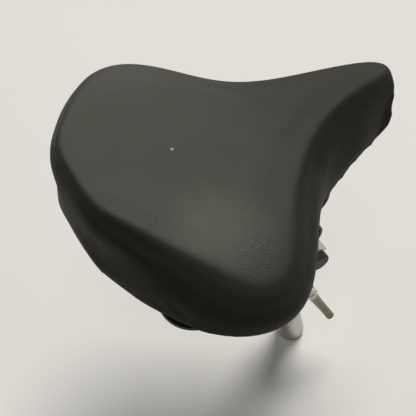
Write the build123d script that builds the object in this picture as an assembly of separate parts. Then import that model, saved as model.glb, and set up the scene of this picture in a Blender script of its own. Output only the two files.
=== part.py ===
from build123d import *
import os
from math import cos, radians, sin

# Saddle unit of a city bicycle: a wide sprung saddle on its rail clamp, seat post and quick-release collar.
# Millimetres. +X points to the bicycle's front, +Y to its left and +Z up.
# The origin is the centre of the seat post's lower end, which goes into the bicycle's seat tube.

# Clearances
run_gap = 0.1
seat_gap = 0.05
soft_gap = 0.3
face_gap = 0.3

# Seat post
post_rake = 15.0
post_length = 250.0
post_diameter = 27.2
post_wall = 2.3
neck_diameter = 22.2
neck_length = 36.0
taper_length = 9.0
least_insertion = 75.0
groove_width = 0.8
groove_depth = 0.35
plug_flange = 2.0
plug_depth = 9.0
plug_wall = 2.0

# Rail clamp: a split band on the post's neck, and two pairs of cheeks on one cross bolt
bolt_drop = 12.0
bolt_lead = 17.0
bolt_diameter = 10.0
band_height = 24.0
band_wall = 3.2
band_slot = 3.0
ear_shoulder = 0.5
ear_diameter = 32.0
tooth_count = 32
tooth_height = 0.7
tooth_width = 1.3
tooth_length = 6.0
cheek_diameter = 36.0
cheek_split = 2.0
outer_cheek_width = 10.0
outer_hub_diameter = 22.0
outer_hub_rise = 4.0
outer_rim_width = 2.0
outer_dish_depth = 3.0
lobe_length = 24.0
lobe_margin = 3.0
washer_diameter = 22.0
washer_thickness = 1.8
tab_width = 8.0
tab_reach = 13.0
tab_angle = 60.0
bolt_flats = 17.0
bolt_head_height = 6.4
nut_height = 8.0
nut_chamfer = 0.6
hexagon_half_step = 30.0
thread_show = 3.0
cap_diameter = 16.5
cap_thickness = 6.0
cap_socket_depth = 3.5
cap_round = 1.5

# Rails, as points in the pad's own frame
rail_diameter = 7.0
rail_spacing = 44.0
rail_above_bolt = 19.0
rail_front_bend_x = 68.0
rail_front_radius = 14.0
rail_nose_x = 77.0
rail_nose_y = 4.2
rail_nose_z = -50.0
rail_rear_bend_x = -24.0
rail_rear_radius = 24.0
rail_tail_bend_x = -50.0
rail_tail_y = 38.0
rail_tail_x = -86.0
rail_tail_rise = 10.0

# Saddle pad. Its own zero is the top at mid-length.
pad_length = 247.0
pad_setback = 43.5
pad_above_bolt = 125.0
pad_foam = 24.0
pad_wall = 6.0
shell_wall = 3.0
shell_recess = 1.5
core_drop = 20.0
rib_foot = -38.0
rib_thickness = 2.2
cross_rib_count = 4
cross_rib_pitch = 32.0
first_cross_rib = -51.0
long_rib_spacing = 46.0

# Section stations of the pad: place, half width, top, rim, shoulder share, shoulder depth.
# Place is a share of half the length, from the tail at -1 to the nose at +1.
# The shoulder's two numbers are shares of the half width and of the depth.
pad_stations = [
    (-0.990, 26.0, 9.5, -38.5, 0.90, 0.32),
    (-0.951, 37.5, 17.0, -44.5, 0.90, 0.37),
    (-0.809, 72.0, 17.5, -50.5, 0.91, 0.42),
    (-0.588, 102.5, 12.5, -53.5, 0.93, 0.43),
    (-0.309, 111.5, 6.5, -57.0, 0.92, 0.41),
    (0.000, 90.0, 0.0, -62.0, 0.86, 0.38),
    (0.309, 48.5, 2.0, -64.0, 0.76, 0.28),
    (0.588, 31.0, 3.5, -65.0, 0.66, 0.18),
    (0.809, 21.0, 0.5, -63.5, 0.66, 0.16),
    (0.930, 17.0, -4.5, -59.5, 0.66, 0.17),
    (0.990, 16.5, -10.5, -51.0, 0.66, 0.16),
]
crown_share_tail = 0.50
crown_share_nose = 0.34
crown_drop_tail = 0.02
crown_drop_nose = 0.085

# Coil springs between the rear bridge and the shell
spring_x = -64.0
spring_y = 50.0
spring_mean_diameter = 36.0
spring_wire = 5.0
spring_turns = 5.5
cup_thickness = 1.6
cup_lip = 5.0
cup_bolt_diameter = 8.0
cup_bolt_flats = 13.0
cup_bolt_head = 5.3
cup_bolt_tail = 9.0
boss_diameter = 26.0
boss_foot = -40.0
bridge_thickness = 3.0
bridge_end_margin = 2.0
bridge_waist = 28.0
bridge_window = 16.0

# Nose bracket that takes the front ends of the rails
bracket_length = 24.0
bracket_width = 34.0
bracket_foot = -60.0

# Quick-release collar
collar_station = 107.0
collar_height = 22.0
collar_bore = 28.6
collar_wall = 3.4
collar_lip = 2.6
collar_slot = 3.5
collar_ear_thickness = 7.5
collar_ear_width = 14.0
collar_corner_radius = 6.0
skewer_diameter = 5.0
skewer_lead = 20.0
skewer_show = 1.0
adjuster_diameter = 13.0
adjuster_length = 11.0
adjuster_chamfer = 1.0
adjuster_flutes = 10
adjuster_flute_diameter = 2.4
cam_washer_thickness = 3.0
cam_washer_diameter = 13.0
pivot_diameter = 6.0
fork_gap = 5.6
cam_diameter = 12.0
cam_width = 13.0
cam_pocket_gap = 0.4
lever_turn = 12.0
lever_bend_radius = 150.0
lever_sweep = 21.5
lever_root_width = 11.0
lever_waist_width = 8.6
lever_tip_width = 8.2
lever_thickness = 4.6
lever_offset = 1.9

# Worked-out sizes and places
post_radius = post_diameter / 2
neck_radius = neck_diameter / 2
bore_radius = post_radius - post_wall
neck_bore_radius = neck_radius - post_wall
bolt_radius = bolt_diameter / 2
bolt_station = post_length - bolt_drop
rake_sin = sin(radians(post_rake))
rake_cos = cos(radians(post_rake))
bolt_x = bolt_lead * rake_cos - bolt_station * rake_sin
bolt_z = bolt_lead * rake_sin + bolt_station * rake_cos
pad_x = bolt_x - pad_setback
pad_z = bolt_z + pad_above_bolt
rail_radius = rail_diameter / 2
rail_y = rail_spacing / 2
rail_z = rail_above_bolt - pad_above_bolt
rail_tail_z = rail_z + rail_tail_rise
ear_face = neck_radius + band_wall + ear_shoulder
inner_cheek_face = ear_face + 2 * tooth_height + face_gap
outer_cheek_face = rail_y + cheek_split / 2 + outer_cheek_width
lobe_top = rail_above_bolt + rail_radius + lobe_margin
hub_face = outer_cheek_face + outer_hub_rise
washer_face = hub_face + seat_gap + washer_thickness
nut_face = washer_face + seat_gap + nut_height
cap_face = nut_face + thread_show
bridge_foot = rail_tail_z + rail_radius + seat_gap
bridge_top = bridge_foot + bridge_thickness
cup_radius = (spring_mean_diameter + spring_wire) / 2 + soft_gap + cup_thickness
spring_foot = bridge_top + seat_gap + cup_thickness + seat_gap
spring_head = boss_foot - seat_gap - cup_thickness - seat_gap
collar_radius = collar_bore / 2 + collar_wall
collar_low = collar_station - collar_height / 2
collar_ear_face = collar_slot / 2 + collar_ear_thickness
collar_facing_radius = max(adjuster_diameter, cam_washer_diameter) / 2 + soft_gap
pivot_y = -(collar_ear_face + seat_gap + cam_washer_thickness + run_gap + cam_diameter / 2)
upright = (Align.CENTER, Align.CENTER, Align.MIN)
post_place = Plane(origin=(0, 0, 0), x_dir=(rake_cos, 0, rake_sin), z_dir=(-rake_sin, 0, rake_cos)).location
bolt_place = Pos(bolt_x, 0, bolt_z)
pad_place = Pos(pad_x, 0, pad_z)
sides = (("left", 1), ("right", -1))


def rod(radius, low, high):
    """An upright round bar between two heights."""
    return Pos(0, 0, low) * Cylinder(radius, high - low, align=upright)


def cross_rod(radius, low, high):
    """A round bar along Y between two places."""
    return Pos(0, low, 0) * Rot(-90, 0, 0) * Cylinder(radius, high - low, align=upright)


def hexagon(flats, low, high):
    """An upright hexagonal bar between two heights, with its end corners taken off."""
    outline = RegularPolygon(flats / 2, 6, major_radius=False)
    body = Pos(0, 0, low) * extrude(outline, high - low)
    corner = flats / 2 / cos(radians(hexagon_half_step))
    turned = Pos(0, 0, low) * Cylinder(corner, high - low, align=upright)
    return body & chamfer(turned.edges(), nut_chamfer)


def across(shape):
    """Turns an upright shape so that its +Z runs along +Y."""
    return Rot(-90, 0, 0) * shape


def on_side(shape, side):
    """The shape itself on the left, or its mirror image on the right."""
    return shape if side > 0 else mirror(shape, about=Plane.XZ)


def blend(tail, nose, place):
    """A value between its size at the tail and at the nose."""
    return tail + (nose - tail) * (place + 1) / 2


def pad_section(station, inset, foam, rim_drop):
    """One closed section of the pad: a crown, two shoulders and two flanks over a straight foot."""
    place, half_width, top, rim, shoulder_share, shoulder_depth = station
    width = half_width - inset
    high = top - foam
    low = rim - rim_drop
    crown_y = blend(crown_share_tail, crown_share_nose, place) * width
    crown_z = high - blend(crown_drop_tail, crown_drop_nose, place) * width
    shoulder_y = shoulder_share * width
    shoulder_z = high - shoulder_depth * (high - low)
    x = place * (pad_length / 2 - inset)
    crown = Edge.make_three_point_arc((x, -crown_y, crown_z), (x, 0, high), (x, crown_y, crown_z))
    left_shoulder = Edge.make_tangent_arc((x, crown_y, crown_z), crown % 1, (x, shoulder_y, shoulder_z))
    left_flank = Edge.make_tangent_arc((x, shoulder_y, shoulder_z), left_shoulder % 1, (x, width, low))
    foot = Edge.make_line((x, width, low), (x, -width, low))
    right_shoulder = Edge.make_tangent_arc(
        (x, -crown_y, crown_z), (crown % 0) * -1, (x, -shoulder_y, shoulder_z)
    )
    right_flank = Edge.make_tangent_arc(
        (x, -shoulder_y, shoulder_z), right_shoulder % 1, (x, -width, low)
    )
    return Face(Wire([crown, left_shoulder, left_flank, foot, right_flank, right_shoulder]))


def pad_outside(rim_lift):
    """The pad's whole outer form, with its rim raised by the given amount."""
    return loft([pad_section(station, 0, 0, -rim_lift) for station in pad_stations])


def pad_core(inset, foam):
    """A form inside the pad, one wall in from its sides and ends and lower by the foam."""
    return loft([pad_section(station, inset, foam, core_drop) for station in pad_stations[1:-1]])


def make_cushion():
    """Foam and skin in one closed soft solid, hollow below."""
    return pad_outside(0) - pad_core(pad_wall, pad_foam)


def make_base_shell():
    """Moulded shell under the foam, with a rib grid and two bosses over the springs."""
    inset = pad_wall + soft_gap
    foam = pad_foam + soft_gap
    hollow = pad_core(inset + shell_wall, foam + shell_wall)
    shell = (pad_core(inset, foam) & pad_outside(shell_recess)) - hollow
    fill_height = pad_foam - rib_foot
    inner_parts = []
    for index in range(cross_rib_count):
        plate = Box(rib_thickness, pad_length, fill_height, align=upright)
        inner_parts.append(Pos(first_cross_rib + index * cross_rib_pitch, 0, rib_foot) * plate)
    for _, side in sides:
        plate = Box(pad_length, rib_thickness, fill_height, align=upright)
        inner_parts.append(Pos(0, side * long_rib_spacing / 2, rib_foot) * plate)
        inner_parts.append(Pos(spring_x, side * spring_y, 0) * rod(boss_diameter / 2, boss_foot, pad_foam))
    rib_room = pad_core(inset + shell_wall / 2, foam + shell_wall / 2)
    shell += rib_room & (Part() + inner_parts)
    for _, side in sides:
        hole_top = boss_foot + cup_bolt_tail + seat_gap
        hole = rod(cup_bolt_diameter / 2 + seat_gap, boss_foot - cup_thickness, hole_top)
        shell -= Pos(spring_x, side * spring_y, 0) * hole
    return shell


def rail_path(side):
    """The rail's centre line in the pad's frame, from the nose bracket to its end under the bridge."""
    return FilletPolyline(
        (rail_nose_x, side * rail_nose_y, rail_nose_z),
        (rail_front_bend_x, side * rail_y, rail_z),
        (rail_rear_bend_x, side * rail_y, rail_z),
        (rail_tail_bend_x, side * rail_tail_y, rail_tail_z),
        (rail_tail_x, side * rail_tail_y, rail_tail_z),
        radius=[rail_front_radius, rail_rear_radius, rail_rear_radius],
    )


def rail_bar(side, radius):
    """A round bar along the rail's centre line."""
    path = rail_path(side)
    section = Plane(origin=path @ 0, z_dir=path % 0) * Circle(radius)
    return sweep(section, path)


def make_nose_bracket():
    """Socket block under the shell's nose, shaped to its ceiling, with a hole for each rail."""
    clear = pad_wall + shell_wall + 2 * soft_gap
    room = pad_core(clear, pad_foam + shell_wall + 2 * soft_gap)
    block = Pos(rail_nose_x, 0, bracket_foot) * Box(
        bracket_length, bracket_width, -bracket_foot, align=upright
    )
    bracket = block & room
    for _, side in sides:
        bracket -= rail_bar(side, rail_radius + seat_gap)
    return bracket


def make_rear_bridge():
    """Pressed plate across the rails' tails that carries the springs."""
    end_radius = cup_radius + bridge_end_margin
    outline = Rectangle(bridge_waist, 2 * spring_y)
    for _, side in sides:
        outline += Pos(0, side * spring_y) * Circle(end_radius)
    outline -= SlotOverall(spring_y, bridge_window, rotation=90)
    for _, side in sides:
        outline -= Pos(0, side * spring_y) * Circle(cup_bolt_diameter / 2 + seat_gap)
    return Pos(spring_x, 0, bridge_foot) * extrude(outline, bridge_thickness)


def make_spring():
    """Coil spring about the Z axis, with its end turns ground flat."""
    lead_in = spring_wire / 4
    height = spring_head - spring_foot - 2 * lead_in
    pitch = height / spring_turns
    mean_radius = spring_mean_diameter / 2
    path = Pos(0, 0, spring_foot + lead_in) * Edge.make_helix(pitch, height, mean_radius)
    section = Plane(origin=path @ 0, z_dir=path % 0) * Circle(spring_wire / 2)
    coil = sweep(section, path, is_frenet=True)
    return coil & rod(mean_radius + spring_wire, spring_foot, spring_head)


def make_cup(low, lip_sense):
    """Pressed seat for one end of a spring; its lip points up for +1 and down for -1."""
    floor = rod(cup_radius, low, low + cup_thickness)
    wall_low = low if lip_sense > 0 else low + cup_thickness - cup_lip
    wall = rod(cup_radius, wall_low, wall_low + cup_lip)
    wall -= rod(cup_radius - cup_thickness, wall_low, wall_low + cup_lip)
    return floor + wall - rod(cup_bolt_diameter / 2 + seat_gap, low, low + cup_thickness)


def make_lower_cup_bolt():
    """Bolt up through the bridge and the lower cup, with its nut inside the spring."""
    nut_low = spring_foot
    shank = rod(cup_bolt_diameter / 2, bridge_foot - seat_gap, nut_low + cup_bolt_tail)
    head = hexagon(cup_bolt_flats, bridge_foot - seat_gap - cup_bolt_head, bridge_foot - seat_gap)
    return shank + head + hexagon(cup_bolt_flats, nut_low, nut_low + cup_bolt_head)


def make_upper_cup_bolt():
    """Screw up through the upper cup into the shell's boss."""
    head_top = spring_head
    shank = rod(cup_bolt_diameter / 2, head_top, boss_foot + cup_bolt_tail)
    return shank + hexagon(cup_bolt_flats, head_top - cup_bolt_head, head_top)


def make_post():
    """Round tube with a tapered neck and the ring that marks the least insertion."""
    neck_low = post_length - neck_length
    taper_low = neck_low - taper_length
    outline = Polyline(
        (bore_radius, 0),
        (post_radius, 0),
        (post_radius, taper_low),
        (neck_radius, neck_low),
        (neck_radius, post_length),
        (neck_bore_radius, post_length),
        (neck_bore_radius, neck_low),
        (bore_radius, taper_low),
        close=True,
    )
    post = revolve(Plane.XZ * make_face(outline), Axis.Z)
    ring = rod(post_radius + groove_depth, least_insertion, least_insertion + groove_width)
    ring -= rod(post_radius - groove_depth, least_insertion, least_insertion + groove_width)
    return post - ring


def make_post_plug():
    """Moulded plug that closes the top of the neck."""
    flange = rod(neck_radius, post_length + seat_gap, post_length + seat_gap + plug_flange)
    skirt = rod(neck_bore_radius - seat_gap, post_length - plug_depth, post_length + seat_gap + plug_flange)
    hollow = rod(neck_bore_radius - plug_wall, post_length - plug_depth, post_length)
    return flange + skirt - hollow


def tooth_ring(face, sense):
    """Radial teeth about the bolt on a face across Y; they stand out to +Y for +1 and to -Y for -1."""
    root = face - sense * tooth_height
    tooth = Polyline(
        (-tooth_width / 2, root), (0, face + sense * tooth_height), (tooth_width / 2, root), close=True
    )
    prism = extrude(make_face(tooth), tooth_length)
    ring_start = ear_diameter / 2 - tooth_length - tooth_width / 2
    teeth = []
    for index in range(tooth_count):
        teeth.append(Rot(0, index * 360 / tooth_count, 0) * Pos(0, 0, ring_start) * prism)
    return teeth


def make_clamp_band():
    """Split band on the post's neck, with two toothed ears in front of it, in the post's frame."""
    low = bolt_station - band_height / 2
    high = bolt_station + band_height / 2
    band = rod(neck_radius + band_wall, low, high)
    ears = Pos(bolt_lead / 2, 0, bolt_station) * Box(bolt_lead, 2 * ear_face, band_height)
    ears += Pos(bolt_lead, 0, bolt_station) * cross_rod(ear_diameter / 2, -ear_face, ear_face)
    for _, side in sides:
        for tooth in tooth_ring(side * ear_face, side):
            ears += Pos(bolt_lead, 0, bolt_station) * tooth
    clamp = band + ears
    clamp -= rod(neck_radius + seat_gap, low - ear_diameter, high + ear_diameter)
    clamp -= Pos(bolt_lead + neck_radius, 0, bolt_station) * Box(
        2 * bolt_lead, band_slot, 2 * ear_diameter
    )
    bore = cross_rod(bolt_radius + run_gap, -2 * ear_face, 2 * ear_face)
    return clamp - Pos(bolt_lead, 0, bolt_station) * bore


def cheek_blank(low, high):
    """Round cheek with its straight lobe over the rail, between two places across Y, about the bolt."""
    lobe = Pos(0, (low + high) / 2, lobe_top / 2) * Box(lobe_length, high - low, lobe_top)
    upper_edges = lobe.edges().filter_by(Axis.Y).sort_by(Axis.Z)[-2:]
    return cross_rod(cheek_diameter / 2, low, high) + fillet(upper_edges, lobe_margin)


def rail_groove():
    """The room that a rail takes in its cheeks, on the left."""
    return Pos(0, rail_y, rail_above_bolt) * Rot(0, 90, 0) * Cylinder(
        rail_radius + soft_gap, 2 * lobe_length
    )


def make_inner_cheek():
    """Left inner cheek: a toothed face towards the band and a half groove towards the rail."""
    cheek = cheek_blank(inner_cheek_face, rail_y - cheek_split / 2)
    for tooth in tooth_ring(inner_cheek_face, -1):
        cheek += tooth
    cheek -= rail_groove()
    return cheek - cross_rod(bolt_radius + seat_gap, 0, 2 * rail_y)


def make_outer_cheek():
    """Left outer cheek: a half groove towards the rail and a dished outer face round a raised hub."""
    dish_floor = outer_cheek_face - outer_dish_depth
    cheek = cheek_blank(rail_y + cheek_split / 2, outer_cheek_face)
    cheek -= cross_rod(cheek_diameter / 2 - outer_rim_width, dish_floor, outer_cheek_face)
    cheek += cross_rod(outer_hub_diameter / 2, dish_floor, hub_face)
    cheek -= rail_groove()
    return cheek - cross_rod(bolt_radius + seat_gap, 0, 2 * hub_face)


def make_washer():
    """Left washer outside the outer cheek's hub."""
    washer = cross_rod(washer_diameter / 2, hub_face + seat_gap, washer_face)
    return washer - cross_rod(bolt_radius + seat_gap, 0, 2 * washer_face)


def make_tab_washer():
    """Right washer with one tab bent outwards along a flat of the nut."""
    tab = Pos(bolt_flats / 2 + seat_gap, 0, 0) * Box(
        washer_thickness, tab_reach, tab_width, align=(Align.MIN, Align.MAX, Align.CENTER)
    )
    bent = Pos(0, -(hub_face + seat_gap), 0) * Rot(0, -tab_angle, 0) * tab
    return mirror(make_washer(), about=Plane.XZ) + bent


def make_clamp_bolt():
    """Cross bolt with its head on the left and its thread's end on the right."""
    head_low = washer_face + seat_gap
    tail = cap_face + cap_socket_depth - seat_gap
    return cross_rod(bolt_radius, -tail, head_low) + across(
        hexagon(bolt_flats, head_low, head_low + bolt_head_height)
    )


def make_clamp_nut():
    """Hexagonal nut on the right."""
    nut = across(hexagon(bolt_flats, -nut_face, -(washer_face + seat_gap)))
    nut = Rot(0, hexagon_half_step - tab_angle, 0) * nut
    return nut - cross_rod(bolt_radius + seat_gap, -2 * nut_face, 0)


def make_clamp_cap():
    """Round cap pressed over the bolt's end on the right."""
    cap = cross_rod(cap_diameter / 2, -(cap_face + cap_thickness), -cap_face)
    cap = fillet(cap.edges().group_by(Axis.Y)[0], cap_round)
    return cap - cross_rod(bolt_radius + seat_gap, -(cap_face + cap_socket_depth), 0)


def make_collar():
    """Split collar with an inner lip that closes on the post, in the post's frame."""
    high = collar_low + collar_height
    ring = rod(collar_radius, collar_low, high)
    reach = skewer_lead + collar_ear_width / 2
    forward = (Align.MIN, Align.CENTER, Align.MIN)
    ears = Pos(0, 0, collar_low) * Box(reach, 2 * collar_ear_face, collar_height, align=forward)
    front_edges = ears.edges().filter_by(Axis.Y).sort_by(Axis.X)[-2:]
    collar = ring + fillet(front_edges, collar_corner_radius)
    for _, side in sides:
        facing = cross_rod(collar_facing_radius, collar_ear_face, 2 * collar_radius)
        collar -= Pos(skewer_lead, 0, collar_station) * on_side(facing, side)
    collar -= rod(collar_bore / 2, collar_low, high - collar_lip)
    collar -= rod(post_radius + run_gap, collar_low, high)
    collar -= Pos(0, 0, collar_low) * Box(2 * reach, collar_slot, collar_height, align=forward)
    bore = cross_rod(skewer_diameter / 2 + seat_gap, -2 * collar_ear_face, 2 * collar_ear_face)
    return collar - Pos(skewer_lead, 0, collar_station) * bore


def make_skewer():
    """Cross rod with a round eye for the lever's pivot pin, about the collar's cross bore."""
    left_end = collar_ear_face + seat_gap + adjuster_length + skewer_show
    shank = cross_rod(skewer_diameter / 2, pivot_y, left_end)
    eye = Pos(0, pivot_y, 0) * Rot(0, 90, 0) * Cylinder(skewer_diameter, fork_gap - 2 * run_gap)
    pin_hole = Pos(0, pivot_y, 0) * Rot(0, 90, 0) * Cylinder(pivot_diameter / 2 + run_gap, cam_width)
    return shank + eye - pin_hole


def make_adjuster():
    """Fluted round nut on the left end of the skewer."""
    low = collar_ear_face + seat_gap
    nut = cross_rod(adjuster_diameter / 2, low, low + adjuster_length)
    nut = chamfer(nut.edges().group_by(Axis.Y)[-1], adjuster_chamfer)
    flute_rod = cross_rod(adjuster_flute_diameter / 2, low, low + adjuster_length)
    flute = Pos(adjuster_diameter / 2, 0, 0) * flute_rod
    for index in range(adjuster_flutes):
        nut -= Rot(0, index * 360 / adjuster_flutes, 0) * flute
    return nut - cross_rod(skewer_diameter / 2 + seat_gap, 0, low + adjuster_length)


def make_cam_washer():
    """Round seat with a trough that the cam turns in."""
    face = -(collar_ear_face + seat_gap)
    washer = cross_rod(cam_washer_diameter / 2, face - cam_washer_thickness, face)
    trough = Pos(0, pivot_y, 0) * Rot(0, 90, 0) * Cylinder(
        cam_diameter / 2 + cam_pocket_gap, 2 * cam_washer_diameter
    )
    washer -= trough
    return washer - cross_rod(skewer_diameter / 2 + seat_gap, 2 * face, 0)


def lever_plane(share):
    """A plane across the handle, at a share of its sweep from the cam to its tip."""
    angle = radians(lever_sweep * share)
    centre_y = -lever_offset - lever_bend_radius
    origin = (0, centre_y + lever_bend_radius * cos(angle), -lever_bend_radius * sin(angle))
    return Plane(origin=origin, x_dir=(1, 0, 0), z_dir=(0, -sin(angle), -cos(angle)))


def half_round(width):
    """Handle section: flat towards the post and rounded away from it."""
    flat = Line((-width / 2, 0), (width / 2, 0))
    back = ThreePointArc((width / 2, 0), (0, lever_thickness), (-width / 2, 0))
    return make_face([flat, back])


def make_lever():
    """Forked cam on its pivot pin with a half-round handle, closed and pointing down from the pivot."""
    cam = Rot(0, 90, 0) * Cylinder(cam_diameter / 2, cam_width)
    handle = loft(
        [
            lever_plane(0) * half_round(lever_root_width),
            lever_plane(0.5) * half_round(lever_waist_width),
            lever_plane(1) * half_round(lever_tip_width),
        ]
    )
    right_half = Pos(lever_tip_width / 2, 0) * Rectangle(lever_tip_width, 4 * lever_thickness)
    half_tip = half_round(lever_tip_width) & right_half
    handle += lever_plane(1) * revolve(half_tip, Axis.Y, 180)
    eye_room = Rot(0, 90, 0) * Cylinder(skewer_diameter + cam_pocket_gap, fork_gap)
    slot_foot = -(skewer_diameter / 2 + cam_pocket_gap)
    slot = Pos(0, 0, slot_foot) * Box(fork_gap, 3 * cam_diameter, 2 * cam_diameter, align=upright)
    pin = Rot(0, 90, 0) * Cylinder(pivot_diameter / 2, cam_width)
    return cam + handle - eye_room - slot + pin


def on_skewer(shape):
    """Takes a shape from the skewer's own axes to the collar's cross bore, turned to the lever's angle."""
    return post_place * Pos(skewer_lead, 0, collar_station) * Rot(0, -lever_turn, 0) * shape


nodes = {
    "cushion": pad_place * make_cushion(),
    "base_shell": pad_place * make_base_shell(),
    "nose_bracket": pad_place * make_nose_bracket(),
    "rear_bridge": pad_place * make_rear_bridge(),
    "seat_post": post_place * make_post(),
    "post_plug": post_place * make_post_plug(),
    "clamp_band": post_place * make_clamp_band(),
    "clamp_bolt": bolt_place * make_clamp_bolt(),
    "clamp_nut": bolt_place * make_clamp_nut(),
    "clamp_cap": bolt_place * make_clamp_cap(),
    "clamp_washer": bolt_place * make_washer(),
    "clamp_tab_washer": bolt_place * make_tab_washer(),
    "collar": post_place * make_collar(),
    "skewer": on_skewer(make_skewer()),
    "adjuster": on_skewer(make_adjuster()),
    "cam_washer": on_skewer(make_cam_washer()),
    "lever": on_skewer(Pos(0, pivot_y, 0) * make_lever()),
}
for label, side in sides:
    spring_place = pad_place * Pos(spring_x, side * spring_y, 0)
    nodes[f"rail_{label}"] = pad_place * rail_bar(side, rail_radius)
    nodes[f"spring_{label}"] = spring_place * make_spring()
    nodes[f"lower_cup_{label}"] = spring_place * make_cup(bridge_top + seat_gap, 1)
    nodes[f"upper_cup_{label}"] = spring_place * make_cup(boss_foot - seat_gap - cup_thickness, -1)
    nodes[f"lower_cup_bolt_{label}"] = spring_place * make_lower_cup_bolt()
    nodes[f"upper_cup_bolt_{label}"] = spring_place * make_upper_cup_bolt()
    nodes[f"inner_cheek_{label}"] = bolt_place * on_side(make_inner_cheek(), side)
    nodes[f"outer_cheek_{label}"] = bolt_place * on_side(make_outer_cheek(), side)

os.makedirs("parts", exist_ok=True)
for name, shape in nodes.items():
    export_step(shape, f"parts/{name}.step")
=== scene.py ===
import functools
import logging
import math
from dataclasses import dataclass, field
from enum import Enum
from typing import Callable, Optional, Union

import bpy
from mathutils import Matrix, Vector


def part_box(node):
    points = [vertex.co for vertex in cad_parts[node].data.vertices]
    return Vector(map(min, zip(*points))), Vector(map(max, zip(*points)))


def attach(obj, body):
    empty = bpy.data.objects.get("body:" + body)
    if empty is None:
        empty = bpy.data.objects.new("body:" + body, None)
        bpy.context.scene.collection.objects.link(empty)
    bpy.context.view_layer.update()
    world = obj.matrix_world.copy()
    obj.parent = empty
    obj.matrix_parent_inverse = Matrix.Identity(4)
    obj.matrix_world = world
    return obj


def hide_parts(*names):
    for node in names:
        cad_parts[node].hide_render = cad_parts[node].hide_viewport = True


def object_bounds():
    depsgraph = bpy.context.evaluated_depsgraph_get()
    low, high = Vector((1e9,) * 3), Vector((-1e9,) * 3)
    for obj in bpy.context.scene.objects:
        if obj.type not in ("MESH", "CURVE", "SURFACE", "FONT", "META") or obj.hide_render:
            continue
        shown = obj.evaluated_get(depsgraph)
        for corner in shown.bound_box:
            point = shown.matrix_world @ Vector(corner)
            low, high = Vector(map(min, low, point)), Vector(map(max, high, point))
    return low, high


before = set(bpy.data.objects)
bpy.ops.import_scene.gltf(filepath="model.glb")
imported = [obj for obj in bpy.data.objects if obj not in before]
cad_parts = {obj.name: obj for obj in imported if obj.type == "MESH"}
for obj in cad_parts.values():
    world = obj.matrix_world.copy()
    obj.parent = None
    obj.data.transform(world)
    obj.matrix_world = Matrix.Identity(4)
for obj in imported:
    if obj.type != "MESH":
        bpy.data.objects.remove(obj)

log = logging.getLogger("saddle_scene")
logging.basicConfig(level=logging.INFO, format="%(name)s: %(message)s")

MM = 0.001
IMAGE_PIXELS = 416
CAD_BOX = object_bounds()
POST_RAKE = math.radians(15.0)
PAD_LOW, PAD_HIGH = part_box("cushion")
# mask of the pad's upward-facing top against its flanks, for the skin's painted light and shade
LIT_TOP_SHARE = "top_share"
MERGE_REACH = 0.01 * MM

Triple = tuple[float, float, float]


class Body(Enum):
    """The bodies that pieces ride on."""

    POST = "post"
    CLAMP = "clamp"
    SADDLE = "saddle"
    COLLAR = "collar_unit"
    LEVER = "lever_arm"


class Side(Enum):
    """The two sides of the bicycle, seen by the rider."""

    LEFT = "left"
    RIGHT = "right"


Number = Union[int, float]
Operand = Union["Signal", Number]


def ease(share: float) -> float:
    """Bends a share from 0 to 1 into a smooth step."""
    return share * share * (3.0 - 2.0 * share)


class Signal:
    """One output socket, with Python's operators adding Math nodes for it."""

    def __init__(self, graph: "Graph", socket: bpy.types.NodeSocket) -> None:
        """Wraps a socket.

        Args:
            graph: the material's graph that the socket belongs to.
            socket: the output socket.
        """
        self.graph = graph
        self.socket = socket

    def _math(self, operation: str, first: Operand, second: Operand) -> "Signal":
        """Adds one Math node and returns its result."""
        return self.graph.add("ShaderNodeMath", {"operation": operation}, {0: first, 1: second})

    def __add__(self, other: Operand) -> "Signal":
        """self + other"""
        return self._math("ADD", self, other)

    def __radd__(self, other: Operand) -> "Signal":
        """other + self"""
        return self._math("ADD", other, self)

    def __sub__(self, other: Operand) -> "Signal":
        """self - other"""
        return self._math("SUBTRACT", self, other)

    def __rsub__(self, other: Operand) -> "Signal":
        """other - self"""
        return self._math("SUBTRACT", other, self)

    def __mul__(self, other: Operand) -> "Signal":
        """self * other"""
        return self._math("MULTIPLY", self, other)

    def __rmul__(self, other: Operand) -> "Signal":
        """other * self"""
        return self._math("MULTIPLY", other, self)

    def __gt__(self, other: Operand) -> "Signal":
        """1 where self is above other, else 0"""
        return self._math("GREATER_THAN", self, other)


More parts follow.
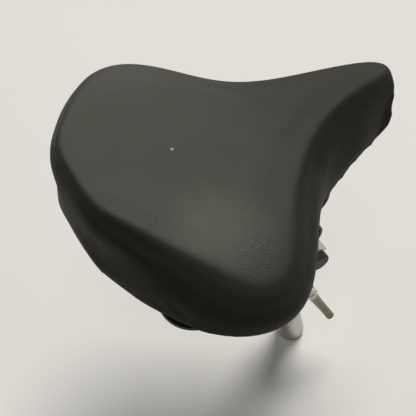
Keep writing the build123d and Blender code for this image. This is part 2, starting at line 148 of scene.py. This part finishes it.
class Graph:
    """A material's node tree with one method that adds any node."""

    def __init__(self, name: str) -> None:
        """Makes an empty material.

        Args:
            name: the material's name.
        """
        self.material = bpy.data.materials.new(name)
        self.material.use_nodes = True
        self.tree = self.material.node_tree
        self.tree.nodes.clear()
        self.shader = self.tree.nodes.new("ShaderNodeBsdfPrincipled")
        output = self.tree.nodes.new("ShaderNodeOutputMaterial")
        self.tree.links.new(self.shader.outputs[0], output.inputs["Surface"])
        self._place: Optional[Signal] = None

    def add(
        self,
        kind: str,
        settings: Optional[dict] = None,
        inputs: Optional[dict] = None,
        output: Union[int, str] = 0,
    ) -> Signal:
        """Adds a node, sets it, and feeds its sockets.

        Args:
            kind: the node's type.
            settings: properties to set first; the key "stops" fills a colour ramp.
            inputs: values or signals by the socket's name or number.
            output: the output socket to return.

        Returns:
            The chosen output as a signal.
        """
        node = self.tree.nodes.new(kind)
        for key, value in (settings or {}).items():
            if key == "stops":
                ramp = node.color_ramp
                while len(ramp.elements) < len(value):
                    ramp.elements.new(0.5)
                for element, (place, colour) in zip(ramp.elements, value):
                    element.position = place
                    element.color = colour
            else:
                setattr(node, key, value)
        for key, value in (inputs or {}).items():
            if isinstance(value, Signal):
                self.tree.links.new(value.socket, node.inputs[key])
            elif value is not None:
                node.inputs[key].default_value = value
        return Signal(self, node.outputs[output])

    @property
    def place(self) -> Signal:
        """The object's own coordinates, in metres."""
        if self._place is None:
            self._place = self.add("ShaderNodeTexCoord", output="Object")
        return self._place

    def noise(
        self,
        scale: float,
        detail: float = 2.0,
        roughness: float = 0.5,
        where: Optional[Signal] = None,
    ) -> Signal:
        """Smooth noise from 0 to 1 at a scale in cycles a metre."""
        return self.add(
            "ShaderNodeTexNoise",
            {},
            {"Vector": where or self.place, "Scale": scale, "Detail": detail, "Roughness": roughness},
        )

    def mapped(
        self,
        turn: Triple = (0.0, 0.0, 0.0),
        scale: Triple = (1.0, 1.0, 1.0),
        where: Optional[Signal] = None,
    ) -> Signal:
        """Coordinates after a turn and a stretch: the object's own, or others that are given."""
        return self.add(
            "ShaderNodeMapping",
            {},
            {"Vector": where or self.place, "Rotation": turn, "Scale": scale},
        )

    def near(self, centre: Triple, inner: float, outer: float) -> Signal:
        """1 within the inner distance of a point, falling smoothly to 0 at the outer one."""
        away = self.add(
            "ShaderNodeVectorMath",
            {"operation": "DISTANCE"},
            {0: self.place, 1: centre},
            "Value",
        )
        return 1.0 - self.ramp(away, inner, outer)

    def ramp(self, value: Signal, low: float, high: float) -> Signal:
        """A smooth step of a value from 0 at low to 1 at high."""
        return self.add(
            "ShaderNodeMapRange",
            {"interpolation_type": "SMOOTHSTEP"},
            {"Value": value, "From Min": low, "From Max": high},
        )

    def blend(self, share: Operand, first: tuple, second: tuple) -> Signal:
        """A mix of two colours by a share."""
        return self.mix(share, (*first, 1.0), (*second, 1.0))

    def mix(self, share: Operand, first: Union[tuple, Signal], second: Union[tuple, Signal]) -> Signal:
        """A mix of two colours, or colour signals, by a share."""
        node = self.tree.nodes.new("ShaderNodeMix")
        node.data_type = "RGBA"
        colours = [socket for socket in node.inputs if socket.type == "RGBA"]
        for socket, value in ((node.inputs[0], share), (colours[0], first), (colours[1], second)):
            if isinstance(value, Signal):
                self.tree.links.new(value.socket, socket)
            else:
                socket.default_value = value
        return Signal(self, next(s for s in node.outputs if s.type == "RGBA"))

    def bump(
        self,
        height: Signal,
        depth: float,
        strength: float = 1.0,
        under: Optional[Signal] = None,
    ) -> Signal:
        """A normal bent by a height whose 0 to 1 stands for a depth in metres."""
        return self.add(
            "ShaderNodeBump",
            {},
            {"Height": height, "Distance": depth, "Strength": strength, "Normal": under},
        )

    def feed(self, **sockets: Union[Signal, Number, tuple]) -> None:
        """Feeds the shader's sockets; underscores stand for spaces in their names."""
        for key, value in sockets.items():
            socket = self.shader.inputs[key.replace("_", " ")]
            if isinstance(value, Signal):
                self.tree.links.new(value.socket, socket)
            else:
                socket.default_value = value


@dataclass(frozen=True)
class Finish:
    """A surface finish. Each kind adds its own texture in dress()."""

    slot: str
    colour: Triple

    def dress(self, graph: Graph) -> None:
        """Adds the finish's nodes to a graph."""
        raise NotImplementedError


@functools.cache
def material_of(slot: str) -> bpy.types.Material:
    """Makes a slot's material, once."""
    graph = Graph(f"{slot}_finish")
    FINISHES[slot].dress(graph)
    return graph.material


@dataclass(frozen=True)
class GrainedSkin(Finish):
    """Dull synthetic leather: fine pebble grain, tight creases on one lobe, and faint rubbed patches.

    The top is painted lighter and the flanks darker, as light from above falls on them: painted light and
    painted shade. Faint worn patches grey the top; it is painted darker towards the nose (painted shade),
    with a painted highlight on the near crest.
    """

    # painted shade: the flanks' colour, darker than the top because less light from above falls on them
    flank_shade: Triple = (0.031, 0.031, 0.025)
    # painted shade: the top's colour at the nose, darker because the lamps' sheen falls off towards it
    nose_shade: Triple = (0.052, 0.052, 0.043)
    nose_from: float = -0.150
    nose_to: float = 0.000
    worn: Triple = (0.088, 0.088, 0.077)
    # painted highlight: the paler colour of the sheen on the near crest
    rubbed: Triple = (0.130, 0.129, 0.112)
    highlight_centre: Triple = (-0.147, -0.070, 0.360)
    highlight_reach: float = 48 * MM
    grain_size: float = 1.15 * MM
    grain_depth: float = 0.10 * MM
    crease_pitch: float = 1.5 * MM
    crease_depth: float = 0.24 * MM
    crease_centre: Triple = (-0.131, -0.085, 0.350)
    crease_reach: float = 27 * MM
    lint_centre: Triple = (-0.1438, -0.0054, 0.3694)
    lint_radius: float = 1.3 * MM
    lint: Triple = (0.42, 0.42, 0.40)
    crease_turn: float = math.radians(-32.0)
    crease_stretch: Triple = (0.42, 1.35, 1.0)
    crease_wander: float = 6 * MM

    def dress(self, graph: Graph) -> None:
        """Adds the skin's nodes."""
        pebbles = graph.add(
            "ShaderNodeTexVoronoi",
            {"feature": "SMOOTH_F1"},
            {"Vector": graph.place, "Scale": 1 / self.grain_size, "Smoothness": 0.35},
        )
        pores = graph.noise(2.2 / self.grain_size, 2.0, 0.6)
        warped = graph.add(
            "ShaderNodeVectorMath",
            {"operation": "ADD"},
            {0: graph.place, 1: self._warp(graph)},
        )
        stretched = graph.mapped((0.0, 0.0, self.crease_turn), self.crease_stretch, warped)
        creases = graph.add(
            "ShaderNodeTexVoronoi",
            {"feature": "DISTANCE_TO_EDGE"},
            {"Vector": stretched, "Scale": 1 / self.crease_pitch},
        )
        crease_line = 1.0 - graph.ramp(creases, 0.0, 0.22)
        near = graph.near(self.crease_centre, 0.25 * self.crease_reach, self.crease_reach) * 0.95 + 0.05
        clouds = graph.noise(17.0, 5.0, 0.60)
        patches = graph.ramp(clouds, 0.40, 0.68)
        smears = graph.ramp(graph.noise(46.0, 5.0, 0.65), 0.45, 0.75)
        along = graph.add("ShaderNodeSeparateXYZ", {}, {0: graph.place}, "X")
        seat = graph.blend(patches * 0.55 + smears * 0.25, self.colour, self.worn)
        # painted shade: the top darkens from nose_from to nose_to, towards the nose
        top_with_nose_shade = graph.mix(graph.ramp(along, self.nose_from, self.nose_to), seat, (*self.nose_shade, 1.0))
        # the upward-facing top keeps the lighter painted colour, and the flanks take the painted shade
        top = graph.add("ShaderNodeAttribute", {"attribute_name": LIT_TOP_SHARE}, {}, "Fac")
        plain = graph.mix(top, (*self.flank_shade, 1.0), top_with_nose_shade)
        # painted highlight: a paler patch round the near crest, on the top only
        near_highlight = graph.near(self.highlight_centre, 0.1 * self.highlight_reach, self.highlight_reach)
        highlight_share = near_highlight * (0.75 + smears * 0.2) * top
        tone = graph.mix(highlight_share, plain, (*self.rubbed, 1.0))
        speck = graph.near(self.lint_centre, 0.5 * self.lint_radius, self.lint_radius)
        pebble_bump = graph.bump(pebbles * 0.8 + pores * 0.35, self.grain_depth, 0.8)
        skin_bump = graph.bump(1.0 - crease_line * near, self.crease_depth, 1.0, pebble_bump)
        # the skin reflects little light; the top's sheen is painted into its base colour instead (painted
        # light)
        graph.feed(
            Specular_IOR_Level=0.05,
            Base_Color=graph.mix(speck, tone, (*self.lint, 1.0)),
            Roughness=0.55 + patches * 0.06 - smears * 0.05 + crease_line * near * 0.06,
            Normal=skin_bump,
        )

    def _warp(self, graph: Graph) -> Signal:
        """A small wandering shift for the creases."""
        wander = graph.add(
            "ShaderNodeTexNoise", {}, {"Vector": graph.place, "Scale": 90.0, "Detail": 2.0}, "Color"
        )
        middle = (0.5, 0.5, 0.5)
        centred = graph.add("ShaderNodeVectorMath", {"operation": "SUBTRACT"}, {0: wander, 1: middle})
        return graph.add(
            "ShaderNodeVectorMath", {"operation": "SCALE"}, {0: centred, "Scale": self.crease_wander}
        )


@dataclass(frozen=True)
class MouldedPlastic(Finish):
    """Moulded plastic with a fine spark-eroded texture and faint flow marks."""

    roughness: float = 0.52
    texture_size: float = 0.55 * MM
    texture_depth: float = 0.05 * MM
    rib_pitch: float = 0.0

    def dress(self, graph: Graph) -> None:
        """Adds the plastic's nodes."""
        texture = graph.noise(1 / self.texture_size, 3.0, 0.6)
        flow = graph.noise(30.0, 3.0, 0.55, graph.mapped(scale=(0.35, 1.0, 1.6)))
        marks = graph.ramp(flow, 0.42, 0.70)
        lighter = tuple(value * 1.5 + 0.006 for value in self.colour)
        relief = texture + self._ribs(graph) if self.rib_pitch else texture
        graph.feed(
            Specular_IOR_Level=0.22,
            Base_Color=graph.blend(marks * 0.6 + texture * 0.2, self.colour, lighter),
            Roughness=self.roughness + marks * 0.10 - texture * 0.08,
            Normal=graph.bump(relief, self.texture_depth, 0.7),
        )

    def _ribs(self, graph: Graph) -> Signal:
        """Raised lines across the face."""
        slant = graph.mapped(turn=(0.0, math.radians(40.0), 0.0))
        lines = graph.add(
            "ShaderNodeTexWave",
            {"bands_direction": "X"},
            {"Vector": slant, "Scale": 0.05 / self.rib_pitch, "Distortion": 0.6},
        )
        return lines * 3.0


@dataclass(frozen=True)
class PowderCoat(Finish):
    """Powder-coated steel: orange peel, patches of dust and small chips down to the metal."""

    roughness: float = 0.36
    peel_size: float = 1.7 * MM
    peel_depth: float = 0.05 * MM
    chip_share: float = 0.745
    bare: Triple = (0.32, 0.31, 0.29)

    def dress(self, graph: Graph) -> None:
        """Adds the coat's nodes."""
        peel = graph.noise(1 / self.peel_size, 2.0, 0.5)
        dust = graph.ramp(graph.noise(60.0, 4.0, 0.6), 0.45, 0.80)
        chips = graph.noise(240.0, 4.0, 0.7) > self.chip_share
        dusty = tuple(value * 1.6 + 0.02 for value in self.colour)
        coat = graph.blend(dust * 0.5, self.colour, dusty)
        graph.feed(
            Specular_IOR_Level=0.26,
            Base_Color=graph.mix(chips, coat, (*self.bare, 1.0)),
            Roughness=self.roughness + dust * 0.18 + peel * 0.06,
            Metallic=chips * 0.8,
            Normal=graph.bump(peel - chips * 0.8, self.peel_depth, 0.8),
        )


@dataclass(frozen=True)
class PlatedSteel(Finish):
    """Zinc-plated steel: a mottled bright face with warm tints and short scratches."""

    tint: Triple = (0.55, 0.50, 0.38)
    roughness: float = 0.30

    def dress(self, graph: Graph) -> None:
        """Adds the plating's nodes."""
        mottle = graph.noise(420.0, 4.0, 0.6)
        stain = graph.ramp(graph.noise(130.0, 3.0, 0.55), 0.42, 0.72)
        scratch = graph.noise(900.0, 2.0, 0.5, graph.mapped(turn=(0.4, 0.2, 0.6), scale=(1.0, 0.08, 1.0)))
        graph.feed(
            Base_Color=graph.blend(stain * 0.7 + mottle * 0.15, self.colour, self.tint),
            Metallic=1.0,
            Roughness=self.roughness + mottle * 0.14 + stain * 0.12,
            Normal=graph.bump(mottle * 0.5 + scratch * 0.5, 0.03 * MM, 0.6),
        )


@dataclass(frozen=True)
class TurnedAlloy(Finish):
    """Aluminium worked round its axis: fine rings across it and long scuffs along it."""

    roughness: float = 0.24
    ring_pitch: float = 0.45 * MM
    ring_depth: float = 0.030 * MM
    axis_turn: Triple = (0.0, POST_RAKE, 0.0)
    worn: Triple = (0.45, 0.44, 0.42)

    def dress(self, graph: Graph) -> None:
        """Adds the alloy's nodes."""
        rings = graph.noise(1 / self.ring_pitch, 2.0, 0.5, graph.mapped(self.axis_turn, (0.02, 0.02, 1.0)))
        scuffs = graph.noise(320.0, 3.0, 0.6, graph.mapped(self.axis_turn, (1.0, 1.0, 0.03)))
        haze = graph.ramp(graph.noise(38.0, 4.0, 0.6), 0.40, 0.75)
        scuffed = graph.ramp(scuffs, 0.55, 0.78)
        graph.feed(
            Base_Color=graph.blend(haze * 0.35 + scuffed * 0.35 + rings * 0.35, self.colour, self.worn),
            Metallic=1.0,
            Roughness=self.roughness + haze * 0.12 + scuffed * 0.14 + rings * 0.05,
            Normal=graph.bump(rings * 0.7 - scuffed * 0.6, self.ring_depth, 0.7),
        )


@dataclass(frozen=True)
class BrightPlate(Finish):
    """Dark plating, its olive tint a painted reflection of a wooden floor, with finger smears, hairlines and
    a few dull pits, and a painted highlight round the cam.
    """

    roughness: float = 0.16
    # painted highlight: the bright colour of a glint round the cam
    bright: Triple = (0.50, 0.49, 0.43)
    glint_centre: Triple = (-0.0084, -0.0184, 0.1085)
    glint_reach: float = 10.5 * MM

    def dress(self, graph: Graph) -> None:
        """Adds the plate's nodes."""
        smear = graph.ramp(graph.noise(70.0, 5.0, 0.62), 0.42, 0.72)
        hairline = graph.noise(900.0, 2.0, 0.5, graph.mapped(turn=(0.1, -0.25, 0.0), scale=(1.0, 1.0, 0.04)))
        pits = graph.noise(700.0, 3.0, 0.7) > 0.74
        dull = tuple(value * 0.62 for value in self.colour)
        # painted highlight: a bright patch round the cam
        cam = graph.near(self.glint_centre, 0.85 * self.glint_reach, self.glint_reach)
        streaks = graph.ramp(hairline, 0.40, 0.64)
        # the plate's olive tint is a painted reflection of a wooden floor; smears, pits and hairlines dull
        # it
        floor_tinted_plate = graph.blend(smear * 0.3 + pits * 0.3 + streaks * 0.6, self.colour, dull)
        graph.feed(
            Base_Color=graph.mix(cam, floor_tinted_plate, (*self.bright, 1.0)),
            Metallic=1.0,
            Roughness=self.roughness + smear * 0.14 + pits * 0.25,
            Normal=graph.bump(hairline - pits * 0.8, 0.02 * MM, 0.8),
        )


@dataclass(frozen=True)
class SpringCoat(Finish):
    """Satin black wire with faint draw lines and rubbed spots."""

    roughness: float = 0.34
    bare: Triple = (0.16, 0.155, 0.15)

    def dress(self, graph: Graph) -> None:
        """Adds the wire's nodes."""
        lines = graph.noise(650.0, 2.0, 0.5)
        rubbed = graph.ramp(graph.noise(150.0, 4.0, 0.65), 0.60, 0.78)
        graph.feed(
            Specular_IOR_Level=0.30,
            Base_Color=graph.blend(rubbed * 0.7, self.colour, self.bare),
            Metallic=rubbed * 0.5,
            Roughness=self.roughness + lines * 0.10 + rubbed * 0.08,
            Normal=graph.bump(lines, 0.03 * MM, 0.6),
        )


FINISHES: dict[str, Finish] = {
    finish.slot: finish
    for finish in (
        # the top's colour, painted lighter as light from above falls on it (painted light)
        GrainedSkin("saddle_skin", (0.076, 0.077, 0.066)),
        MouldedPlastic("shell_plastic", (0.022, 0.022, 0.022)),
        MouldedPlastic("bracket_plastic", (0.030, 0.030, 0.030), roughness=0.46),
        MouldedPlastic("plug_plastic", (0.020, 0.020, 0.020), roughness=0.40),
        MouldedPlastic(
            "cap_plastic",
            (0.016, 0.016, 0.016),
            roughness=0.46,
            texture_size=0.9 * MM,
            texture_depth=0.12 * MM,
            rib_pitch=1.3 * MM,
        ),
        MouldedPlastic("washer_plastic", (0.020, 0.020, 0.020), roughness=0.48),
        PowderCoat("black_steel", (0.020, 0.020, 0.021)),
        TurnedAlloy("post_alloy", (0.47, 0.465, 0.42), worn=(0.30, 0.295, 0.27)),
        TurnedAlloy("collar_alloy", (0.070, 0.070, 0.074), roughness=0.30, worn=(0.11, 0.11, 0.11)),
        TurnedAlloy("adjuster_alloy", (0.60, 0.60, 0.58), roughness=0.28),
        PlatedSteel("zinc_steel", (0.52, 0.51, 0.48), tint=(0.36, 0.34, 0.27)),
        PlatedSteel("skewer_steel", (0.56, 0.56, 0.55), tint=(0.45, 0.43, 0.38), roughness=0.26),
        # the olive tint is a painted reflection of a wooden floor
        BrightPlate("lever_chrome", (0.185, 0.176, 0.126)),
        SpringCoat("rail_steel", (0.024, 0.024, 0.025), roughness=0.28),
        SpringCoat("spring_steel", (0.022, 0.022, 0.023), roughness=0.32),
    )
}


def deselect_all() -> None:
    """Leaves object mode with nothing selected."""
    if bpy.context.object and bpy.context.object.mode != "OBJECT":
        bpy.ops.object.mode_set(mode="OBJECT")
    bpy.ops.object.select_all(action="DESELECT")


def make_active(piece: bpy.types.Object) -> None:
    """Selects one piece alone and makes it active."""
    deselect_all()
    piece.select_set(True)
    bpy.context.view_layer.objects.active = piece


def apply_modifier(piece: bpy.types.Object, kind: str, **settings: object) -> None:
    """Adds a modifier, sets it and applies it.

    Args:
        piece: the object.
        kind: the modifier's type.
        settings: its properties.
    """
    make_active(piece)
    modifier = piece.modifiers.new(kind.title(), kind)
    for key, value in settings.items():
        setattr(modifier, key, value)
    bpy.ops.object.modifier_apply(modifier=modifier.name)


def edit(piece: bpy.types.Object, *steps: Callable[[], object]) -> None:
    """Runs operators on all of a piece in edit mode."""
    make_active(piece)
    bpy.ops.object.mode_set(mode="EDIT")
    bpy.ops.mesh.select_all(action="SELECT")
    for step in steps:
        step()
    bpy.ops.object.mode_set(mode="OBJECT")


def dress_node(name: str, slot: str) -> None:
    """Gives a carried-over CAD node its finish."""
    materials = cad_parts[name].data.materials
    materials.clear()
    materials.append(material_of(slot))


def settle(piece: bpy.types.Object, name: str, slot: str, body: Body) -> bpy.types.Object:
    """Names a new piece, gives it its finish and puts it on its body.

    Args:
        piece: the finished object.
        name: the piece's name.
        slot: the record's material slot.
        body: the body that it rides on.

    Returns:
        The same object.
    """
    piece.name = name
    piece.data.name = name
    piece.data.materials.clear()
    piece.data.materials.append(material_of(slot))
    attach(piece, body.value)
    log.info("%s: %d faces", name, len(piece.data.polygons))
    return piece


@dataclass
class SaddlePad:
    """Foam pad under its skin, swollen by a cloth simulation from the solid's own form."""

    voxel: float = 3.2 * MM
    smooth_rounds: int = 5
    shoulder_lift: float = 2.6 * MM
    shoulder_tilt: float = math.radians(34.0)
    shoulder_spread: float = math.radians(22.0)
    pressure: float = 4.0
    frames: int = 20
    most_swell: float = 0.8 * MM
    fill: float = 0.9
    hold_below: float = 10 * MM
    hold_facing: float = -0.2
    cloth_quality: int = 5
    last_rounds: int = 3
    # normal lifts where the painted shade of the flanks gives way to the lighter painted top
    flank_shade_from: float = 0.76
    lit_top_from: float = 0.92
    even_rounds: int = 10

    def _form(self) -> bpy.types.Object:
        """Copies the solid's mesh, joins its triangles and evens it out."""
        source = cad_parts["cushion"]
        piece = bpy.data.objects.new("pad", source.data.copy())
        bpy.context.scene.collection.objects.link(piece)
        edit(piece, lambda: bpy.ops.mesh.remove_doubles(threshold=MERGE_REACH))
        apply_modifier(piece, "REMESH", mode="VOXEL", voxel_size=self.voxel)
        apply_modifier(piece, "SMOOTH", factor=0.5, iterations=self.smooth_rounds)
        self._fill_shoulders(piece)
        return piece

    def _fill_shoulders(self, piece: bpy.types.Object) -> None:
        """Fills the rounded shoulder out, so that the flat top ends in a firmer edge."""
        moves = []
        for vertex in piece.data.vertices:
            tilt = math.acos(max(-1.0, min(1.0, vertex.normal.z)))
            share = max(0.0, 1.0 - abs(tilt - self.shoulder_tilt) / self.shoulder_spread)
            moves.append(vertex.normal * (self.shoulder_lift * ease(share)))
        for vertex, move in zip(piece.data.vertices, moves):
            vertex.co += move

    def _swell(self, piece: bpy.types.Object) -> None:
        """Blows the skin up a little as cloth, and caps how far each point goes."""
        before = [vertex.co.copy() for vertex in piece.data.vertices]
        held = piece.vertex_groups.new(name="held")
        low = min(point.z for point in before)
        for index, point in enumerate(before):
            inward = piece.data.vertices[index].normal.z < self.hold_facing
            weight = 1.0 if inward or point.z < low + self.hold_below else 0.0
            held.add([index], weight, "REPLACE")
        cloth = piece.modifiers.new("Cloth", "CLOTH")
        cloth.settings.effector_weights.gravity = 0.0
        cloth.settings.use_pressure = True
        cloth.settings.uniform_pressure_force = self.pressure
        cloth.settings.vertex_group_mass = held.name
        cloth.settings.quality = self.cloth_quality
        cloth.collision_settings.use_collision = False
        cloth.point_cache.frame_start = 1
        cloth.point_cache.frame_end = self.frames
        scene = bpy.context.scene
        for number in range(1, self.frames + 1):
            scene.frame_set(number)
        make_active(piece)
        bpy.ops.object.modifier_apply(modifier=cloth.name)
        scene.frame_set(1)
        for vertex, start in zip(piece.data.vertices, before):
            move = vertex.co - start
            if move.length > self.most_swell:
                vertex.co = start + move * (self.most_swell / move.length)
        piece.vertex_groups.clear()

    def _mark_lit_top(self, piece: bpy.types.Object) -> None:
        """Writes on each point how far it belongs to the top, from 0 on the flanks to 1, as the mask for the
        skin's painted light and shade.
        """
        span = self.lit_top_from - self.flank_shade_from
        lift = [vertex.normal.z for vertex in piece.data.vertices]
        pairs = [tuple(edge.vertices) for edge in piece.data.edges]
        for _ in range(self.even_rounds):
            total, count = list(lift), [1] * len(lift)
            for first, second in pairs:
                total[first] += lift[second]
                total[second] += lift[first]
                count[first] += 1
                count[second] += 1
            lift = [value / number for value, number in zip(total, count)]
        marks = piece.data.attributes.new(LIT_TOP_SHARE, "FLOAT", "POINT")
        for value, mark in zip(lift, marks.data):
            share = max(0.0, min(1.0, (value - self.flank_shade_from) / span))
            mark.value = ease(share)

    def build(self) -> bpy.types.Object:
        """Makes the pad.

        Returns:
            The pad, standing for the solid cushion.
        """
        piece = self._form()
        self._swell(piece)
        apply_modifier(piece, "SMOOTH", factor=0.5, iterations=self.last_rounds)
        apply_modifier(piece, "SUBSURF", levels=1, render_levels=1)
        make_active(piece)
        bpy.ops.object.shade_smooth()
        self._mark_lit_top(piece)
        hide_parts("cushion")
        settle(piece, "saddle_pad", "saddle_skin", Body.SADDLE)
        return piece


@dataclass
class SkinHem:
    """The skin's rolled edge, turned in under the pad's rim.

    A loop is laid out a little below the rim, drawn up onto the pad's skin, and given its thickness.
    Rows are place along the pad, half width and height in millimetres, from the pad's zero point.
    They restate the pad's stations in part.py, which a scratch solver fitted to the photo, a little
    further in. They are not sizes chosen by hand.
    """

    rows: tuple[Triple, ...] = (
        (-121.0, 22.0, -39.0),
        (-117.4, 36.0, -44.5),
        (-99.9, 70.5, -50.5),
        (-72.6, 101.0, -53.5),
        (-38.2, 110.0, -57.0),
        (0.0, 88.5, -62.0),
        (38.2, 47.0, -64.0),
        (72.6, 29.5, -65.0),
        (99.9, 19.5, -63.5),
        (114.9, 15.5, -59.5),
        (121.2, 12.0, -52.0),
    )
    zero: Vector = field(
        default_factory=lambda: Vector((PAD_LOW.x + 122.27 * MM, 0.0, PAD_HIGH.z - 19.19 * MM))
    )
    thickness: float = 2.6 * MM
    drop: float = 6.0 * MM
    even_rounds: int = 6

    def build(self, pad: bpy.types.Object) -> bpy.types.Object:
        """Makes the hem.

        Args:
            pad: the saddle's pad.

        Returns:
            The hem as a mesh on the saddle.
        """
        ring = [(x, -y, z) for x, y, z in self.rows] + [(x, y, z) for x, y, z in reversed(self.rows)]
        deselect_all()
        bpy.ops.curve.primitive_bezier_circle_add(radius=0.1)
        piece = bpy.context.object
        piece.data.splines.clear()
        spline = piece.data.splines.new("BEZIER")
        spline.bezier_points.add(len(ring) - 1)
        for point, place in zip(spline.bezier_points, ring):
            point.co = self.zero + Vector(place) * MM - Vector((0.0, 0.0, self.drop))
            point.handle_left_type = point.handle_right_type = "AUTO"
        spline.use_cyclic_u = True
        piece.data.resolution_u = 8
        make_active(piece)
        bpy.ops.object.convert(target="MESH")
        apply_modifier(piece, "SHRINKWRAP", target=pad, wrap_method="NEAREST_SURFACEPOINT")
        apply_modifier(piece, "SMOOTH", factor=0.5, iterations=self.even_rounds)
        make_active(piece)
        bpy.ops.object.convert(target="CURVE")
        piece.data.bevel_depth = self.thickness / 2
        piece.data.bevel_resolution = 3
        bpy.ops.object.convert(target="MESH")
        edit(
            piece,
            lambda: bpy.ops.mesh.remove_doubles(threshold=MERGE_REACH),
            lambda: bpy.ops.mesh.normals_make_consistent(inside=False),
        )
        bpy.ops.object.shade_smooth()
        return settle(piece, "skin_hem", "saddle_skin", Body.SADDLE)


@dataclass
class Hardware:
    """The solid parts that keep their own shape and get a finish."""

    singles: dict[str, str] = field(
        default_factory=lambda: {
            "base_shell": "shell_plastic",
            "nose_bracket": "bracket_plastic",
            "rear_bridge": "black_steel",
            "seat_post": "post_alloy",
            "post_plug": "plug_plastic",
            "clamp_band": "black_steel",
            "clamp_bolt": "zinc_steel",
            "clamp_nut": "zinc_steel",
            "clamp_washer": "zinc_steel",
            "clamp_tab_washer": "zinc_steel",
            "clamp_cap": "cap_plastic",
            "collar": "collar_alloy",
            "skewer": "skewer_steel",
            "adjuster": "adjuster_alloy",
            "cam_washer": "washer_plastic",
            "lever": "lever_chrome",
        }
    )
    pairs: dict[str, str] = field(
        default_factory=lambda: {
            "rail": "rail_steel",
            "spring": "spring_steel",
            "lower_cup": "black_steel",
            "upper_cup": "black_steel",
            "lower_cup_bolt": "zinc_steel",
            "upper_cup_bolt": "zinc_steel",
            "inner_cheek": "black_steel",
            "outer_cheek": "black_steel",
        }
    )

    def dress(self) -> None:
        """Gives every solid part its finish."""
        for name, slot in self.singles.items():
            dress_node(name, slot)
        for stem, slot in self.pairs.items():
            for side in Side:
                dress_node(f"{stem}_{side.value}", slot)
        log.info("dressed %d solid parts", len(self.singles) + 2 * len(self.pairs))


@dataclass
class Studio:
    """Pale floor, soft lamps, an even world and the camera at the photograph's angle.

    The eye is placed from the pad's box: from its tail, its middle and its top. Eye, look, roll and
    focal length are the rounded result of a scratch solver that fitted the camera to the photo.
    """

    floor_gap: float = 0.5 * MM
    floor_half: float = 4.0
    floor_colour: Triple = (0.90, 0.885, 0.85)
    floor_bounce: Triple = (0.08, 0.077, 0.07)
    world_seen: float = 0.95
    world_level: float = 0.07
    eye_from_pad: Triple = (-80.4 * MM, -271.5 * MM, 341.9 * MM)
    look: Triple = (0.329, 0.498, -0.802)
    roll: float = math.radians(3.31)
    focal_pixels: float = 772.0
    sensor: float = 36.0
    clip_start: float = 10 * MM
    lamp_aim: Triple = (-0.08, 0.0, 0.35)

    def _seen(self, tree: bpy.types.NodeTree) -> bpy.types.NodeSocket:
        """1 for the rays that see a background: camera, glossy and transmission rays."""
        path = tree.nodes.new("ShaderNodeLightPath")
        total = path.outputs["Is Camera Ray"]
        for name in ("Is Glossy Ray", "Is Transmission Ray"):
            adder = tree.nodes.new("ShaderNodeMath")
            adder.operation = "MAXIMUM"
            tree.links.new(total, adder.inputs[0])
            tree.links.new(path.outputs[name], adder.inputs[1])
            total = adder.outputs[0]
        return total

    def _floor(self) -> None:
        """A wide plain floor: pale where it is seen, and duller in the light that it throws back."""
        deselect_all()
        height = CAD_BOX[0][2] - self.floor_gap
        bpy.ops.mesh.primitive_plane_add(size=2 * self.floor_half, location=(0, 0, height))
        floor = bpy.context.object
        floor.name = "floor"
        graph = Graph("floor_paint")
        speckle = graph.noise(300.0, 3.0, 0.6)
        lighter = tuple(min(value * 1.03, 1.0) for value in self.floor_colour)
        pale = graph.blend(speckle, self.floor_colour, lighter)
        seen = Signal(graph, self._seen(graph.tree))
        graph.feed(
            Base_Color=graph.mix(seen, (*self.floor_bounce, 1.0), pale),
            Roughness=0.7,
            Normal=graph.bump(speckle, 0.1 * MM, 0.3),
        )
        floor.data.materials.append(graph.material)

    def _world(self) -> None:
        """An even world, pale where it is seen and lower in the light that it gives."""
        world = bpy.data.worlds.new("studio")
        world.use_nodes = True
        bpy.context.scene.world = world
        tree = world.node_tree
        background = tree.nodes["Background"]
        background.inputs["Color"].default_value = (1.0, 0.99, 0.97, 1.0)
        strength = tree.nodes.new("ShaderNodeMapRange")
        strength.inputs["To Min"].default_value = self.world_level
        strength.inputs["To Max"].default_value = self.world_seen
        tree.links.new(self._seen(tree), strength.inputs["Value"])
        tree.links.new(strength.outputs[0], background.inputs["Strength"])

    def _lamp(self, name: str, place: Triple, size: float, power: float, tint: Triple) -> None:
        """A square soft lamp that looks at the saddle."""
        data = bpy.data.lights.new(name, "AREA")
        data.shape = "SQUARE"
        data.size = size
        data.energy = power
        data.color = tint
        lamp = bpy.data.objects.new(name, data)
        lamp.location = place
        aim = Vector(self.lamp_aim) - Vector(place)
        lamp.rotation_mode = "QUATERNION"
        lamp.rotation_quaternion = aim.to_track_quat("-Z", "Y")
        bpy.context.scene.collection.objects.link(lamp)

    def _camera(self) -> None:
        """The camera, from its eye point, sight line, roll and focal length in pixels."""
        sight = Vector(self.look).normalized()
        right = sight.cross(Vector((0, 0, 1))).normalized()
        up = right.cross(sight)
        right_rolled = right * math.cos(self.roll) + up * math.sin(self.roll)
        up_rolled = up * math.cos(self.roll) - right * math.sin(self.roll)
        data = bpy.data.cameras.new("camera")
        data.sensor_width = self.sensor
        data.lens = self.focal_pixels / IMAGE_PIXELS * self.sensor
        data.clip_start = self.clip_start
        camera = bpy.data.objects.new("camera", data)
        axes = Matrix((right_rolled, up_rolled, -sight)).transposed()
        eye = Vector((PAD_LOW.x, 0.0, PAD_HIGH.z)) + Vector(self.eye_from_pad)
        camera.matrix_world = Matrix.Translation(eye) @ axes.to_4x4()
        bpy.context.scene.collection.objects.link(camera)
        bpy.context.scene.camera = camera

    def build(self) -> None:
        """Makes the floor, the lamps, the world and the camera."""
        self._floor()
        self._world()
        self._lamp("ceiling_lamp", (0.75, 1.00, 3.9), 1.5, 112.0, (1.0, 0.99, 0.96))
        self._lamp("near_lamp", (-0.95, -1.05, 3.8), 1.2, 14.0, (1.0, 0.99, 0.97))
        self._camera()
        bpy.context.scene.view_settings.view_transform = "Standard"


def main() -> None:
    """Builds the studio and the saddle unit in order."""
    Studio().build()
    Hardware().dress()
    pad = SaddlePad().build()
    SkinHem().build(pad)


if __name__ == "__main__":
    main()
